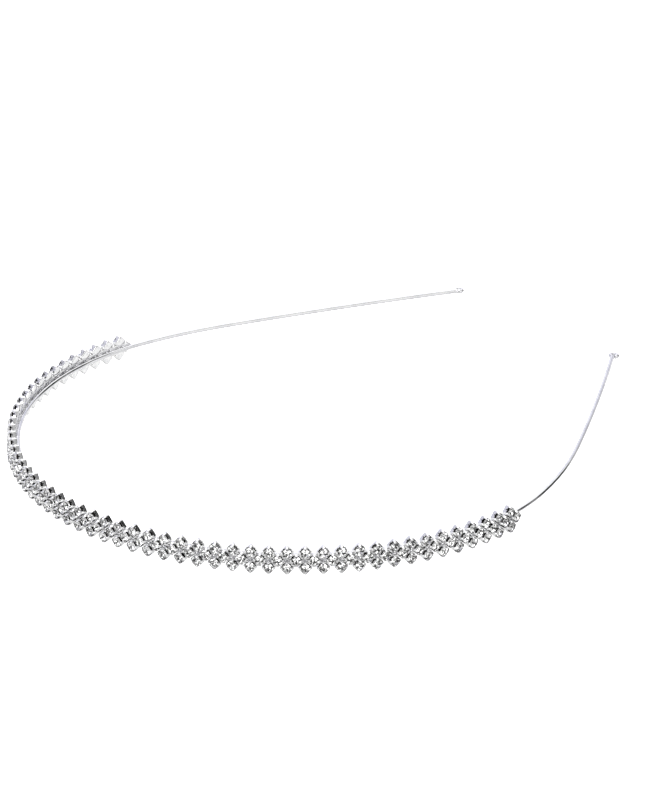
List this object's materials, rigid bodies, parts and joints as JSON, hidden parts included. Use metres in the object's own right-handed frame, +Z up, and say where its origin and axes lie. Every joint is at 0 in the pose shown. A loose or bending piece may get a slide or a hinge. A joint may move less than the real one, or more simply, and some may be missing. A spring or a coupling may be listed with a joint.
{
  "type": "crystal headband",
  "caption": "Slim silver wire headband with rows of claw-set round crystals over the crown and bare sprung legs that end in small eyes.",
  "frame": {"origin": "middle of the bounding box, on the surface that the band lies on", "axes": "+Z up, square to the plane of the U; +Y from the crown towards the open end; +X across the band, towards its shorter leg"},
  "size_m": [0.1248, 0.1526, 0.0063],
  "materials": {
    "silver_wire": "drawn steel spring wire with bright silver plating",
    "silver_cups": "stamped brass claw cups with bright silver plating",
    "crystal": "clear cut glass with a bright foil on its back facets"
  },
  "bodies": {
    "root": {"band_wire": "silver_wire", "claw_cups": "silver_cups", "crystals": "crystal"}
  },
  "joints": []
}
